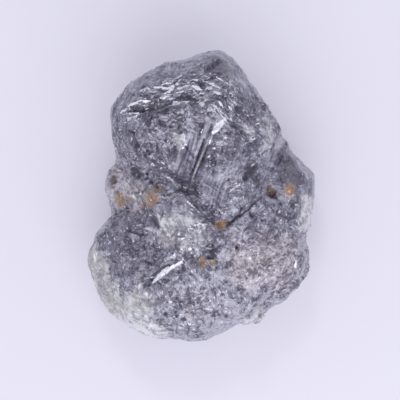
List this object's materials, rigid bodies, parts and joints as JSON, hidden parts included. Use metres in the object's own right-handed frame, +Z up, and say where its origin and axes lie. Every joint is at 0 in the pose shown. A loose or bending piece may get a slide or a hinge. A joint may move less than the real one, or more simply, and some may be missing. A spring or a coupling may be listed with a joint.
{
  "type": "rough diamond",
  "caption": "Uncut grey diamond as found: a rounded, pitted stone of two intergrown masses, with a flat cleavage face to rest on.",
  "frame": {"origin": "on the resting face, under the middle of the stone's bounding box", "axes": "+Z up from the resting face, +Y along the longest extent, from the lower mass to the crown, +X to the right as seen from above with the crown away"},
  "size_m": [0.0094, 0.012, 0.0073],
  "materials": {
    "rough_diamond": "natural, etched and pitted crystal skin, grey with a faint violet cast and a half-metallic lustre, milky rims and rust-stained pits"
  },
  "bodies": {
    "root": {"rough_diamond": "rough_diamond"}
  },
  "joints": []
}
